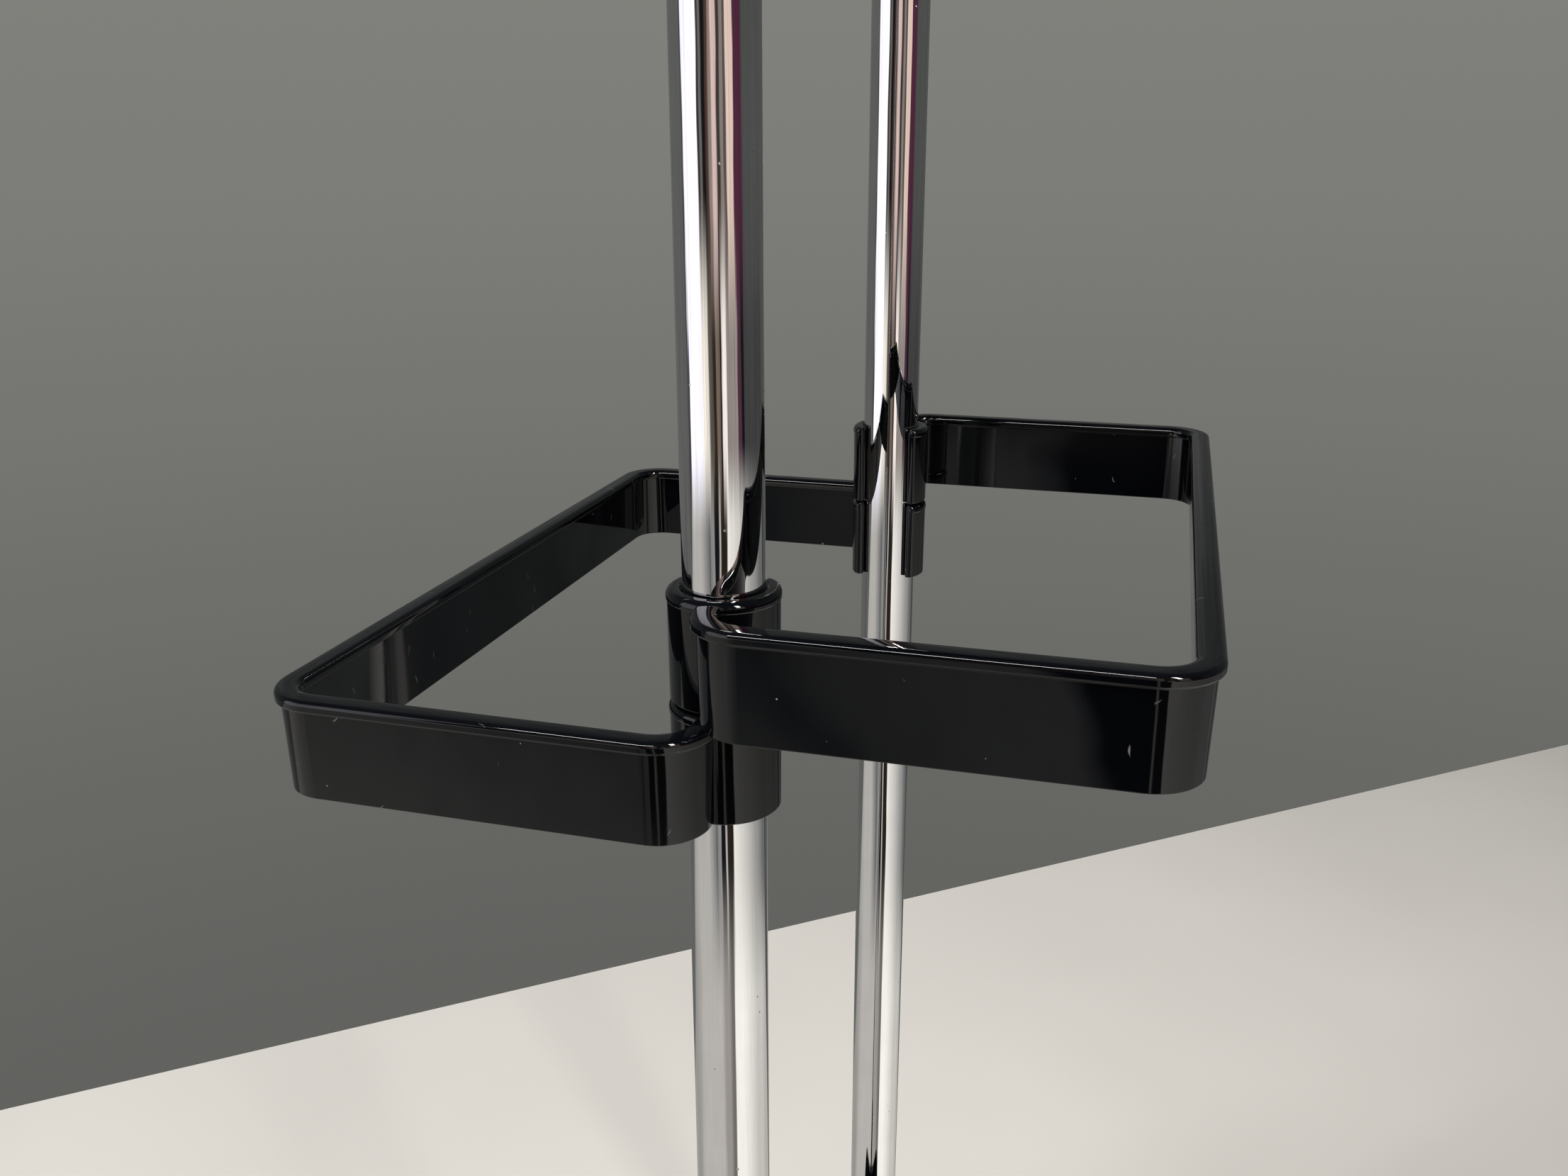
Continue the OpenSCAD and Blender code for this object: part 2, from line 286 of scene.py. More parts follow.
class Shader(NodeKit):
    """A material with a Principled shader, patterned in its object's own coordinates."""

    def __init__(self, name, **sockets):
        self.material = bpy.data.materials.new(name)
        self.material.use_nodes = True
        super().__init__(self.material.node_tree)
        self.principled = self.tree.nodes["Principled BSDF"]
        for socket, value in sockets.items():
            self.principled.inputs[socket.replace("_", " ")].default_value = value
        self.place = self.add("ShaderNodeTexCoord").outputs["Object"]

    def stretched(self, x, y, z):
        """Object coordinates scaled differently along each axis."""
        return self.add("ShaderNodeMapping", {"Vector": self.place, "Scale": (x, y, z)}).outputs[0]

    def noise(self, vector, scale, detail=3.0, roughness=0.5):
        return self.add("ShaderNodeTexNoise", {
            "Vector": vector, "Scale": scale, "Detail": detail, "Roughness": roughness}).outputs["Fac"]

    def remap(self, value, low, high, to_low, to_high):
        return self.add("ShaderNodeMapRange", {
            "Value": value, "From Min": low, "From Max": high, "To Min": to_low,
            "To Max": to_high}).outputs["Result"]

    def marked_cells(self, cells, size, core, channel, share):
        """1 in the middle of a share of a Voronoi pattern's cells, out to size, fading from its core."""
        middle = self.remap(cells.outputs["Distance"], size, size * core, 0.0, 1.0)
        pick = self.add("ShaderNodeSeparateColor", {"Color": cells.outputs["Color"]}).outputs[channel]
        return self.maths("MULTIPLY", middle, self.maths("GREATER_THAN", pick, 1 - share))

    def specks(self, scale, size, share):
        """1 in small round dots."""
        cells = self.add("ShaderNodeTexVoronoi", {"Vector": self.place, "Scale": scale})
        return self.marked_cells(cells, size, 0.6, 0, share)

    def scratches(self, turn, scale, width, share):
        """1 along short thin lines that run in one direction, slightly bent by noise."""
        bend, bend_scale, length = 0.006, 110.0, 0.06
        bent = self.add("ShaderNodeTexNoise", {"Vector": self.place, "Scale": bend_scale})
        bent = self.add("ShaderNodeVectorMath", {0: bent.outputs["Color"], "Scale": bend},
                        operation="SCALE")
        bent = self.add("ShaderNodeVectorMath", {0: self.place, 1: bent.outputs[0]})
        turned = self.add("ShaderNodeMapping", {
            "Vector": bent.outputs[0], "Rotation": turn,
            "Scale": (scale, scale * length, scale * length)})
        cells = self.add("ShaderNodeTexVoronoi", {"Vector": turned.outputs[0], "Scale": 1.0})
        return self.marked_cells(cells, width, 0.5, 1, share)

    def bump(self, height, distance, normal=None):
        """Relief of this depth in metres, on top of the relief in normal."""
        below = {} if normal is None else {"Normal": normal}
        return self.add("ShaderNodeBump", {"Height": height, "Distance": distance, **below}).outputs[0]

    def drive(self, socket, value):
        self.tree.links.new(value, self.principled.inputs[socket])


def chrome_material():
    """Chrome plating: drawn streaks and slow waves along the tube, smudges, fine pits and dust."""
    clean, smudged = (0.69, 0.685, 0.69, 1), (0.62, 0.62, 0.625, 1)
    pit_colour, dust_colour, mark_roughness = (0.25, 0.24, 0.23, 1), (0.85, 0.85, 0.85, 1), 0.4
    s = Shader("chromed_steel", Metallic=1.0)
    drawn = s.noise(s.stretched(1, 1, 0.02), 900, detail=2)
    wave = s.noise(s.stretched(1, 1, 0.22), 26, detail=1)
    smudge = s.noise(s.place, 30, detail=5, roughness=0.6)
    pits = s.specks(170, 0.07, 0.35)
    dust = s.specks(130, 0.035, 0.35)
    grain = s.remap(smudge, 0.35, 0.75, 0.012, 0.05)
    marks = s.maths("MULTIPLY", s.maths("MAXIMUM", pits, dust), mark_roughness)
    s.drive("Roughness", s.maths("ADD", grain, marks))
    plating = s.mix_colour(s.remap(smudge, 0.3, 0.8, 0, 1), clean, smudged)
    plating = s.mix_colour(pits, plating, pit_colour)
    s.drive("Base Color", s.mix_colour(dust, plating, dust_colour))
    normal = s.bump(wave, 0.00035)
    normal = s.bump(drawn, 0.000003, normal=normal)
    s.drive("Normal", s.bump(pits, -0.00006, normal=normal))
    return s.material


def abs_material():
    """Glossy black ABS: a trace of haze and flow, with pale dust specks and short scuffs.

    The IOR is lower than real ABS has. It was fitted to the photograph together with the bands.
    """
    black, hazy = (0.0006, 0.0009, 0.0015, 1), (0.0016, 0.0019, 0.0027, 1)
    mark_colour, mark_roughness, scuff_strength = (0.30, 0.30, 0.30, 1), 0.4, 0.45
    s = Shader("black_abs", IOR=1.42)
    haze = s.noise(s.place, 22, detail=6, roughness=0.62)
    flow = s.noise(s.stretched(1, 1, 0.6), 16, detail=1)
    fine = s.noise(s.place, 1400, detail=1)
    dust = s.specks(95, 0.030, 0.45)
    scuffs = s.maths("MAXIMUM",
                     s.scratches((0.4, 0.9, 0.3), 700, 0.09, 0.16),
                     s.scratches((1.2, 0.2, 1.1), 800, 0.09, 0.14))
    marks = s.maths("MAXIMUM", dust, s.maths("MULTIPLY", scuffs, scuff_strength))
    s.drive("Base Color", s.mix_colour(marks, s.mix_colour(haze, black, hazy), mark_colour))
    gloss = s.remap(haze, 0.3, 0.8, 0.015, 0.065)
    s.drive("Roughness", s.maths("ADD", gloss, s.maths("MULTIPLY", marks, mark_roughness)))
    normal = s.bump(flow, 0.00030)
    normal = s.bump(fine, 0.0000010, normal=normal)
    s.drive("Normal", s.bump(scuffs, -0.00002, normal=normal))
    return s.material


def rubber_material():
    """Dull dark rubber with a greyer bloom in patches."""
    dark, bloomed = (0.012, 0.012, 0.012, 1), (0.030, 0.029, 0.028, 1)
    s = Shader("foot_rubber", IOR=1.5)
    grain = s.noise(s.place, 900, detail=4, roughness=0.7)
    bloom = s.noise(s.place, 40, detail=4)
    s.drive("Base Color", s.mix_colour(bloom, dark, bloomed))
    s.drive("Roughness", s.remap(grain, 0.3, 0.7, 0.62, 0.85))
    s.drive("Normal", s.bump(grain, 0.00012))
    return s.material


def zinc_material():
    """Zinc plating: small patches of differing brightness over a fine grain."""
    dull, bright = (0.52, 0.53, 0.55, 1), (0.66, 0.66, 0.65, 1)
    s = Shader("zinc_steel", Metallic=1.0)
    patch = s.add("ShaderNodeTexVoronoi", {"Vector": s.place, "Scale": 420.0}).outputs["Color"]
    turned = s.noise(s.place, 1500, detail=2)
    share = s.add("ShaderNodeSeparateColor", {"Color": patch}).outputs[0]
    s.drive("Base Color", s.mix_colour(share, dull, bright))
    s.drive("Roughness", s.remap(turned, 0.3, 0.7, 0.24, 0.42))
    s.drive("Normal", s.bump(turned, 0.00002))
    return s.material


def plate_material():
    """Black-painted steel, rubbed paler in patches, with a slight orange-peel relief."""
    paint, rubbed = (0.020, 0.020, 0.022, 1), (0.045, 0.044, 0.043, 1)
    s = Shader("ballast_steel", IOR=1.5)
    peel = s.noise(s.place, 600, detail=3)
    rub = s.noise(s.place, 18, detail=6, roughness=0.65)
    s.drive("Base Color", s.mix_colour(s.remap(rub, 0.45, 0.75, 0, 1), paint, rubbed))
    s.drive("Roughness", s.remap(rub, 0.3, 0.7, 0.35, 0.55))
    s.drive("Normal", s.bump(peel, 0.00006))
    return s.material


CHROME = chrome_material()
ABS = abs_material()
RUBBER = rubber_material()
ZINC = zinc_material()
PLATE = plate_material()


# ---- posts ---------------------------------------------------------------------------------------

def post(name, side):
    """A chromed tube with slightly eased ends."""
    inner, length = POST_R - POST_WALL, POST_TOP - POST_BOTTOM
    outer_ease, inner_ease = 0.4, 0.3
    profile = filleted([(inner, 0, inner_ease), (POST_R, 0, outer_ease), (POST_R, length, outer_ease),
                        (inner, length, inner_ease)])
    tube = lathe(name + "_tube", profile, side * POST_X, 0, POST_BOTTOM, CHROME, segments=160)
    return show(tube, "stand", name, slot="chromed_steel")


post("left_post", -1)
post("right_post", 1)


# ---- trouser loops -------------------------------------------------------------------------------

def clip_profile():
    """Section of a clip's wall about its middle: a drafted wall, a rounded rim and a chamfered bore."""
    half, draft = CLIP_WALL / 2, 0.15
    rim_proud, rim_h, rim_r, rim_slope = 0.28, 3.1, 2.2, 0.3
    chamfer_w, chamfer_h = 1.0, 1.3
    return filleted([
        (-half, 0, 0.4), (half - draft, 0, 0.5), (half, BAND_H - rim_h - rim_slope, 0.3),
        (half + rim_proud, BAND_H - rim_h, 0.3), (half + rim_proud, BAND_H, rim_r),
        (-half + chamfer_w, BAND_H, 0.5), (-half, BAND_H - chamfer_h, 0.5)])


def rounded_end(station, direction):
    """Stations that round off a clip's jaw past its last station, nearly to a line."""
    x, y, a, z, _ = station
    steps, nearly = 7, 0.985
    ends = []
    for k in range(1, steps + 1):
        t = pi / 2 * k / steps * nearly
        along = direction * CLIP_WALL / 2 * sin(t)
        ends.append((x - along * sin(a), y + along * cos(a), a, z, cos(t)))
    return ends


def clip(name, x, z):
    """An open spring clip round the post at x, its mouth facing the other post."""
    middle_r = CLIP_BORE_R + CLIP_WALL / 2
    facing = 0 if x > 0 else pi
    stations = arc_stations(x, 0, middle_r, facing - CLIP_HALF_ANGLE, facing + CLIP_HALF_ANGLE, z)
    return swept(name, clip_profile(), rounded_end(stations[0], -1)[::-1] + stations
                 + rounded_end(stations[-1], 1), ABS)


def loop_path(z):
    """Stations of the band of a loop that reaches towards -Y, from the right clip to the left one."""
    corner_x, corner_y = ARM_X - CORNER_R, BAR_Y - CORNER_R
    inside_clip = POST_X + CLIP_BORE_R + CLIP_WALL * 0.6
    right = ([(inside_clip, -HOOK_SHIFT, pi / 2, z, 1.0)]
             + arc_stations(corner_x, -CORNER_R - HOOK_SHIFT, CORNER_R, pi / 2, 0, z)
             + arc_stations(corner_x, -corner_y, CORNER_R, 0, -pi / 2, z))
    left = [(-x, y, pi - a, z, s) for x, y, a, z, s in reversed(right)]
    return right + left


def trouser_loop(name, body, turned):
    """A loop and its two clips as one moulding, for the front of the stand or turned to its back."""
    z = box_mm(name)[0].z
    band = swept(name + "_moulding", band_profile(BAND_H - RIM_PROUD), loop_path(z), ABS)
    boolean(band, [clip("clip", side * POST_X, z) for side in SIDES], "UNION")
    if turned:
        band.data.transform(Matrix.Rotation(pi, 4, "Z"))
    return show(band, body, name, slot="black_abs")


trouser_loop("front_trouser_loop", "front_loop", False)
trouser_loop("back_trouser_loop", "back_loop", True)


# ---- base ----------------------------------------------------------------------------------------

def joined(objects):
    """All the objects' meshes in the first one."""
    first = objects[0]
    if len(objects) > 1:
        with bpy.context.temp_override(active_object=first, selected_editable_objects=objects):
            bpy.ops.object.join()
    return first


def lathe_at(name, profile, places, material, segments=96):
    """Copies of one turned shape at several places (x, y, z), as one object."""
    return joined([lathe(name, profile, x, y, z, material, segments) for x, y, z in places])


def rod(radius, low, high):
    """Profile of a plain cylinder."""
    return [(0, low), (radius, low), (radius, high), (0, high)]


def block(name, low, high, material):
    """A plain box between two corners, used for cutting."""
    ring = ((low[0], low[1]), (high[0], low[1]), (high[0], high[1]), (low[0], high[1]))
    return mesh_object(name, [[(x, y, z) for x, y in ring] for z in (low[2], high[2])], False, material)


base_low, base_high = box_mm("base_shell")
BASE_W = base_high.x - base_low.x - LIP_W
BASE_D = base_high.y - base_low.y - LIP_W
BASE_R = 36
BASE_H = base_high.z - base_low.z
PLATE_LOW, PLATE_HIGH = (corner.z for corner in box_mm("ballast_plate"))
FLOOR_T = 3
PLATE_MARGIN = 8
BOLT_R, BOLT_HEAD_AF, THREAD_PITCH = 4, 13, 1.25
WASHER_R, WASHER_T = 8, 1.6
FOOT_SCREW_R, FOOT_SCREW_HEAD_R, FOOT_SCREW_HEAD_H = 2, 4, 2.5
FOOT_RECESS_H = 4
SLOT_W, SLOT_DEPTH = 1.2, 1.0
LOWER_THREAD_DEPTH, UPPER_THREAD_DEPTH = 20, 22
HANGER_SCREW_R, HANGER_SCREW_HEAD_R = 3, 6
FOOT_NODES = ("front_left_foot", "front_right_foot", "rear_left_foot", "rear_right_foot")
foot_boxes = [box_mm(node) for node in FOOT_NODES]
FOOT_PLACES = [((low.x + high.x) / 2, (low.y + high.y) / 2) for low, high in foot_boxes]
FOOT_R = (foot_boxes[0][1].x - foot_boxes[0][0].x) / 2
FOOT_H = foot_boxes[0][1].z


def base_shell():
    """The tray base, open below, with a hole for each post through its floor."""
    floor_low = PLATE_HIGH - base_low.z
    shell = open_box("base_moulding", BASE_W, BASE_D, BASE_R, BASE_H, floor_low, floor_low + FLOOR_T, ABS)
    shell.data.transform(Matrix.Translation((0, 0, mm(base_low.z))))
    hole_low, hole_h = PLATE_HIGH - 5, 20
    holes = lathe_at("holes", rod(POST_R, 0, hole_h), [(x, y, hole_low) for x, y in POST_PLACES], ABS)
    boolean(shell, [holes], "DIFFERENCE")
    return show(shell, "stand", "base_shell", slot="black_abs")


def ballast_plate():
    """The cut steel plate with eased edges and its bolt and screw holes."""
    edge, past = 1.0, 2
    w, d, r = BASE_W - 2 * PLATE_MARGIN, BASE_D - 2 * PLATE_MARGIN, BASE_R - PLATE_MARGIN
    rings = [rounded_box_ring(w, d, r, out, z) for out, z in (
        (-edge, PLATE_LOW), (0, PLATE_LOW + edge), (0, PLATE_HIGH - edge), (-edge, PLATE_HIGH))]
    plate = mesh_object("ballast_plate_cut", rings, False, PLATE)
    span = PLATE_HIGH - PLATE_LOW + 2 * past
    holes = joined([
        lathe_at(name, rod(radius, 0, span), [(x, y, PLATE_LOW - past) for x, y in places], PLATE, 48)
        for name, radius, places in (("bolt_holes", BOLT_R, POST_PLACES),
                                     ("screw_holes", FOOT_SCREW_R, FOOT_PLACES))])
    boolean(plate, [holes], "DIFFERENCE")
    return show(plate, "stand", "ballast_plate", slot="ballast_steel")


def feet():
    """Rubber feet with a recess for the screw's head and a fine groove round the sole."""
    recess_r = FOOT_SCREW_HEAD_R + 1
    groove, groove_in, groove_out, groove_slope = 0.5, 8.2, 9.3, 0.2
    sole_in, shoulder, top_in = 0.6, 3, 0.5
    profile = filleted([
        (FOOT_SCREW_R, FOOT_RECESS_H, 0), (recess_r, FOOT_RECESS_H, 0.3), (recess_r, 0, 0.5),
        (groove_in, 0, 0.2), (groove_in + groove_slope, groove, 0.1),
        (groove_out - groove_slope, groove, 0.1), (groove_out, 0, 0.2), (FOOT_R - sole_in, 0, 1.4),
        (FOOT_R, FOOT_H - shoulder, 0.4), (FOOT_R - top_in, FOOT_H, 0.8), (FOOT_SCREW_R, FOOT_H, 0)])
    for node, (x, y) in zip(FOOT_NODES, FOOT_PLACES):
        foot = lathe(node + "_pad", profile, x, y, 0, RUBBER)
        show(foot, "stand", node, slot="foot_rubber")


def foot_screws():
    """Slotted pan-head screws up through the feet into the plate."""
    tip, head_taper = PLATE_HIGH - 1, 0.3
    head_low = FOOT_RECESS_H - FOOT_SCREW_HEAD_H
    profile = filleted([
        (0, head_low, 0), (FOOT_SCREW_HEAD_R - head_taper, head_low, 1.0),
        (FOOT_SCREW_HEAD_R, FOOT_RECESS_H, 0.15), (FOOT_SCREW_R, FOOT_RECESS_H, 0),
        (FOOT_SCREW_R, tip, 0.6), (0, tip, 0)])
    screws = lathe_at("foot_screw_set", profile, [(x, y, 0) for x, y in FOOT_PLACES], ZINC, 48)
    past = FOOT_SCREW_HEAD_R + 1
    slots = joined([block("slot", (x - past, y - SLOT_W / 2, 0),
                          (x + past, y + SLOT_W / 2, head_low + SLOT_DEPTH), ZINC)
                    for x, y in FOOT_PLACES])
    boolean(screws, [slots], "DIFFERENCE")
    return show(screws, "stand", "foot_screws", slot="zinc_steel")


def bolts():
    """Hexagon bolts: chamfered heads and threaded shanks."""
    low, high = box_mm("base_bolts")
    chamfer_w, chamfer_h, tip_chamfer, overlap = 0.2, 0.8, 1, 1
    thread_depth, relief, crest_low, crest_high = 0.6, 0.1, 0.35, 0.5
    flat_r = BOLT_HEAD_AF / 2
    corner_r = flat_r / cos(pi / 6)
    head_low, head_high = low.z, PLATE_LOW - WASHER_T
    hex_high = head_high - 0.3
    head = [(0, head_low), (flat_r - chamfer_w, head_low), (corner_r, head_low + chamfer_h),
            (corner_r, head_high), (0, head_high)]
    heads = lathe_at("bolt_set", head, [(x, y, 0) for x, y in POST_PLACES], ZINC)
    hexagons = joined([
        mesh_object("hexagon", [[(x + corner_r * cos(pi / 3 * k), y + corner_r * sin(pi / 3 * k), z)
                                 for k in range(6)] for z in (head_low - overlap, hex_high)],
                    False, ZINC) for x, y in POST_PLACES])
    boolean(heads, [hexagons], "INTERSECT")
    shank = [(0, head_low + overlap), (BOLT_R - relief, head_low + overlap),
             (BOLT_R - relief, PLATE_HIGH)]
    turns = int((high.z - tip_chamfer - PLATE_HIGH) / THREAD_PITCH)
    for k in range(turns):
        z = PLATE_HIGH + k * THREAD_PITCH
        shank += [(BOLT_R, z + THREAD_PITCH * crest_low), (BOLT_R, z + THREAD_PITCH * crest_high),
                  (BOLT_R - thread_depth, z + THREAD_PITCH)]
    shank += [(BOLT_R - tip_chamfer, high.z), (0, high.z)]
    boolean(heads, [lathe_at("shanks", shank, [(x, y, 0) for x, y in POST_PLACES], ZINC, 64)], "UNION")
    return show(heads, "stand", "base_bolts", slot="zinc_steel")


def washers():
    """Plain washers between the bolts' heads and the plate."""
    profile = filleted([(BOLT_R, 0, 0.15), (WASHER_R, 0, 0.3), (WASHER_R, WASHER_T, 0.3),
                        (BOLT_R, WASHER_T, 0.15)])
    rings = lathe_at("washer_set", profile, [(x, y, PLATE_LOW - WASHER_T) for x, y in POST_PLACES],
                     ZINC)
    return show(rings, "stand", "base_washers", slot="zinc_steel")


def inserts():
    """Plugs in the posts' ends, each with a blind threaded hole from its outer end."""
    for node, side, thread_r, depth in (
            ("left_lower_insert", -1, BOLT_R, LOWER_THREAD_DEPTH),
            ("right_lower_insert", 1, BOLT_R, LOWER_THREAD_DEPTH),
            ("left_upper_insert", -1, HANGER_SCREW_R, UPPER_THREAD_DEPTH),
            ("right_upper_insert", 1, HANGER_SCREW_R, UPPER_THREAD_DEPTH)):
        low, high = box_mm(node)
        length, bore = high.z - low.z, POST_R - POST_WALL
        profile = filleted([(thread_r, 0, 0.4), (bore, 0, 0.5), (bore, length, 1.0), (0, length, 0),
                            (0, depth, 0), (thread_r, depth, 0.5)])
        if "upper" in node:
            profile = [(r, length - h) for r, h in profile]
        plug = lathe(node + "_plug", profile, side * POST_X, 0, low.z, ZINC)
        show(plug, "stand", node, slot="zinc_steel")


def base_collars():
    """Collars round the posts' feet, with the clips' section turned full circle."""
    for node, (x, y) in zip(("left_base_collar", "right_base_collar"), POST_PLACES):
        middle_r = POST_R + CLIP_WALL / 2
        profile = [(middle_r + u, w) for u, w in clip_profile()]
        ring = lathe(node + "_ring", profile, x, y, box_mm(node)[0].z, ABS)
        show(ring, "stand", node, slot="black_abs")


base_shell()
ballast_plate()
feet()
foot_screws()
bolts()
washers()
inserts()
base_collars()


# ---- hanger and tray -----------------------------------------------------------------------------

hanger_low, hanger_high = box_mm("hanger")
HANGER_W = hanger_high.x - hanger_low.x
HANGER_D = hanger_high.y - hanger_low.y
HANGER_TOP = hanger_high.z
HANGER_H, HANGER_WALL, HANGER_EDGE_R = 34, 3, 8
SHOULDER_X, SHOULDER_ANGLE = 146, radians(32)
SHOULDER_R = (HANGER_W / 2 - SHOULDER_X) / sin(SHOULDER_ANGLE)
UNDER_R = 260              # radius of the shoulders' lower edge
TIP_ROUND = 5
BOSS_R, BOSS_H, BOSS_BORE_R = 5, 11, 2
TRAY_R = 28
TRAY_SCREW_X, TRAY_SCREW_R, TRAY_SCREW_HEAD_R, TRAY_SCREW_L = 62, 2, 4, 15
HANGER_SCREW_L = 22
SEAT_GAP = 0.3             # room round a hanger screw's head
TRAY_SCREW_PLACES = [(side * TRAY_SCREW_X, 0, HANGER_TOP) for side in SIDES]


def hanger_depth(turn):
    """Depth of the side walls where the shoulder has turned by this angle."""
    drop = UNDER_R + HANGER_H - SHOULDER_R
    return SHOULDER_R - (sqrt(UNDER_R ** 2 - (drop * sin(turn)) ** 2) - drop * cos(turn))


def hanger_station(x, turn, section, along=0.0):
    """The section (across, depth below the top) at x, turned down the shoulder and moved along it."""
    ring = []
    for across, depth in section:
        out = (SHOULDER_R - depth) * sin(turn) + along * cos(turn)
        up = (SHOULDER_R - depth) * cos(turn) - along * sin(turn)
        ring.append((x + out, across, HANGER_TOP - SHOULDER_R + up))
    return ring


def hanger_outline(depth, inset=0.0):
    """Outer section of the hanger, rounded along its top and drawn in by inset."""
    least_r, low_share = 1.2, 0.6
    w, r = HANGER_D / 2 - inset, max(HANGER_EDGE_R - inset, least_r)
    low = depth - inset * low_share
    return filleted([(-w, inset, r), (w, inset, r), (w, low, 0.9), (-w, low, 0.9)])


def hanger_hollow(depth):
    """Section of the hollow under the hanger, flared where it meets the lower edges of the sides."""
    w, flare, past, deep = HANGER_D / 2 - HANGER_WALL, 0.8, 2.4, depth + 12
    return filleted([(-w, HANGER_WALL, HANGER_EDGE_R - HANGER_WALL),
                     (w, HANGER_WALL, HANGER_EDGE_R - HANGER_WALL), (w, depth - flare, 1.0),
                     (w + past, depth - flare + past, 0), (w + past, deep, 0), (-w - past, deep, 0),
                     (-w - past, depth - flare + past, 0), (-w, depth - flare, 1.0)])


def hanger_sweep(name, section, last, ends):
    """A section that changes with depth, swept over both shoulders; ends are the rings of one tip."""
    steps = 24
    turns = [last * k / steps for k in range(steps + 1)]
    half = [hanger_station(SHOULDER_X, turn, section(hanger_depth(turn))) for turn in turns] + ends
    other = [[(-x, y, z) for x, y, z in ring] for ring in reversed(half)]
    return mesh_object(name, other + half, False, ABS)


def hanger_tip():
    """Rings that round off a shoulder's tip, at the angle where the sweep ends."""
    last, steps = SHOULDER_ANGLE - TIP_ROUND / SHOULDER_R, 9
    ends = []
    for k in range(1, steps + 1):
        t = pi / 2 * k / steps
        inset, along = TIP_ROUND * (1 - cos(t)), TIP_ROUND * sin(t)
        outline = hanger_outline(hanger_depth(SHOULDER_ANGLE), inset)
        ends.append(hanger_station(SHOULDER_X, last, outline, along))
    return last, ends


def hanger_fittings():
    """Sockets for the post tops and bosses for the tray's screws, grown into the hanger's roof."""
    socket_r, socket_low, top = POST_R + CLIP_WALL, HANGER_TOP - HANGER_H, HANGER_TOP - HANGER_WALL / 2
    socket = filleted([(POST_R, socket_low, 0.6), (socket_r, socket_low, 1.8), (socket_r, top, 0),
                       (POST_R, top, 0)])
    boss_low, boss_top = -BOSS_H - HANGER_WALL, -HANGER_WALL / 2
    boss = filleted([(0, boss_low, 0), (BOSS_R, boss_low, 0.6), (BOSS_R, boss_top, 0), (0, boss_top, 0)])
    return [lathe_at("sockets", socket, [(x, y, 0) for x, y in POST_PLACES], ABS),
            lathe_at("bosses", boss, TRAY_SCREW_PLACES, ABS, 64)]


def hanger_holes():
    """Countersunk seats for the hanger's screws and bores through the bosses."""
    r, head, past = HANGER_SCREW_R, HANGER_SCREW_HEAD_R, 1
    seat = [(0, -2 * r), (r, -2 * r), (r, r - head), (head + SEAT_GAP, SEAT_GAP),
            (head + SEAT_GAP, past), (0, past)]
    bore = rod(BOSS_BORE_R, -BOSS_H - HANGER_WALL - past, past)
    return [lathe_at("screw_seats", seat, [(x, y, HANGER_TOP) for x, y in POST_PLACES], ABS, 64),
            lathe_at("boss_bores", bore, TRAY_SCREW_PLACES, ABS, 48)]


def hanger():
    """The jacket hanger: two drooping hollow shoulders that join the post tops."""
    last, ends = hanger_tip()
    body = hanger_sweep("hanger_moulding", hanger_outline, last, ends)
    tip_wall = 1.3 * HANGER_WALL
    hollow_end = SHOULDER_ANGLE - tip_wall / SHOULDER_R
    boolean(body, [hanger_sweep("hollow", hanger_hollow, hollow_end, [])], "DIFFERENCE")
    boolean(body, hanger_fittings(), "UNION")
    boolean(body, hanger_holes(), "DIFFERENCE")
    return show(body, "stand", "hanger", slot="black_abs")


def countersunk_set(name, places, r, head, length, *, node):
    """Slotted countersunk screws, their heads flush with the places given."""
    rim, ease = 0.15, 0.1
    profile = filleted([(0, -length, 0), (r, -length, 0.5), (r, r - head, 0.3), (head, -rim, ease),
                        (head - ease, 0, ease), (0, 0, 0)])
    screws = lathe_at(name, profile, places, ZINC, 64)
    slots = joined([block("slot", (x - head - 1, y - SLOT_W / 2, z - SLOT_DEPTH),
                          (x + head + 1, y + SLOT_W / 2, z + 1), ZINC) for x, y, z in places])
    boolean(screws, [slots], "DIFFERENCE")
    return show(screws, "stand", node, slot="zinc_steel")


def accessory_tray():
    """The tray on the hanger, with countersunk seats in its floor, and the screws that hold it."""
    low, high = box_mm("accessory_tray")
    tray = open_box("tray_moulding", high.x - low.x - LIP_W, high.y - low.y - LIP_W, TRAY_R,
                    high.z - low.z, 0, FLOOR_T, ABS)
    tray.data.transform(Matrix.Translation((0, 0, mm(low.z))))
    places = [(side * TRAY_SCREW_X, 0, low.z + FLOOR_T) for side in SIDES]
    r, head, gap, past, deep = TRAY_SCREW_R, TRAY_SCREW_HEAD_R, 0.2, 1, 5
    seat = [(0, -deep), (r, -deep), (r, r - head), (head + gap, gap), (head + gap, past), (0, past)]
    boolean(tray, [lathe_at("seats", seat, places, ABS, 64)], "DIFFERENCE")
    show(tray, "stand", "accessory_tray", slot="black_abs")
    countersunk_set("tray_screw_set", places, r, head, TRAY_SCREW_L, node="tray_screws")


hanger()
countersunk_set("hanger_screw_set", [(x, y, HANGER_TOP) for x, y in POST_PLACES], HANGER_SCREW_R,
                HANGER_SCREW_HEAD_R, HANGER_SCREW_L, node="hanger_screws")
accessory_tray()


# ---- camera, light and floor ---------------------------------------------------------------------

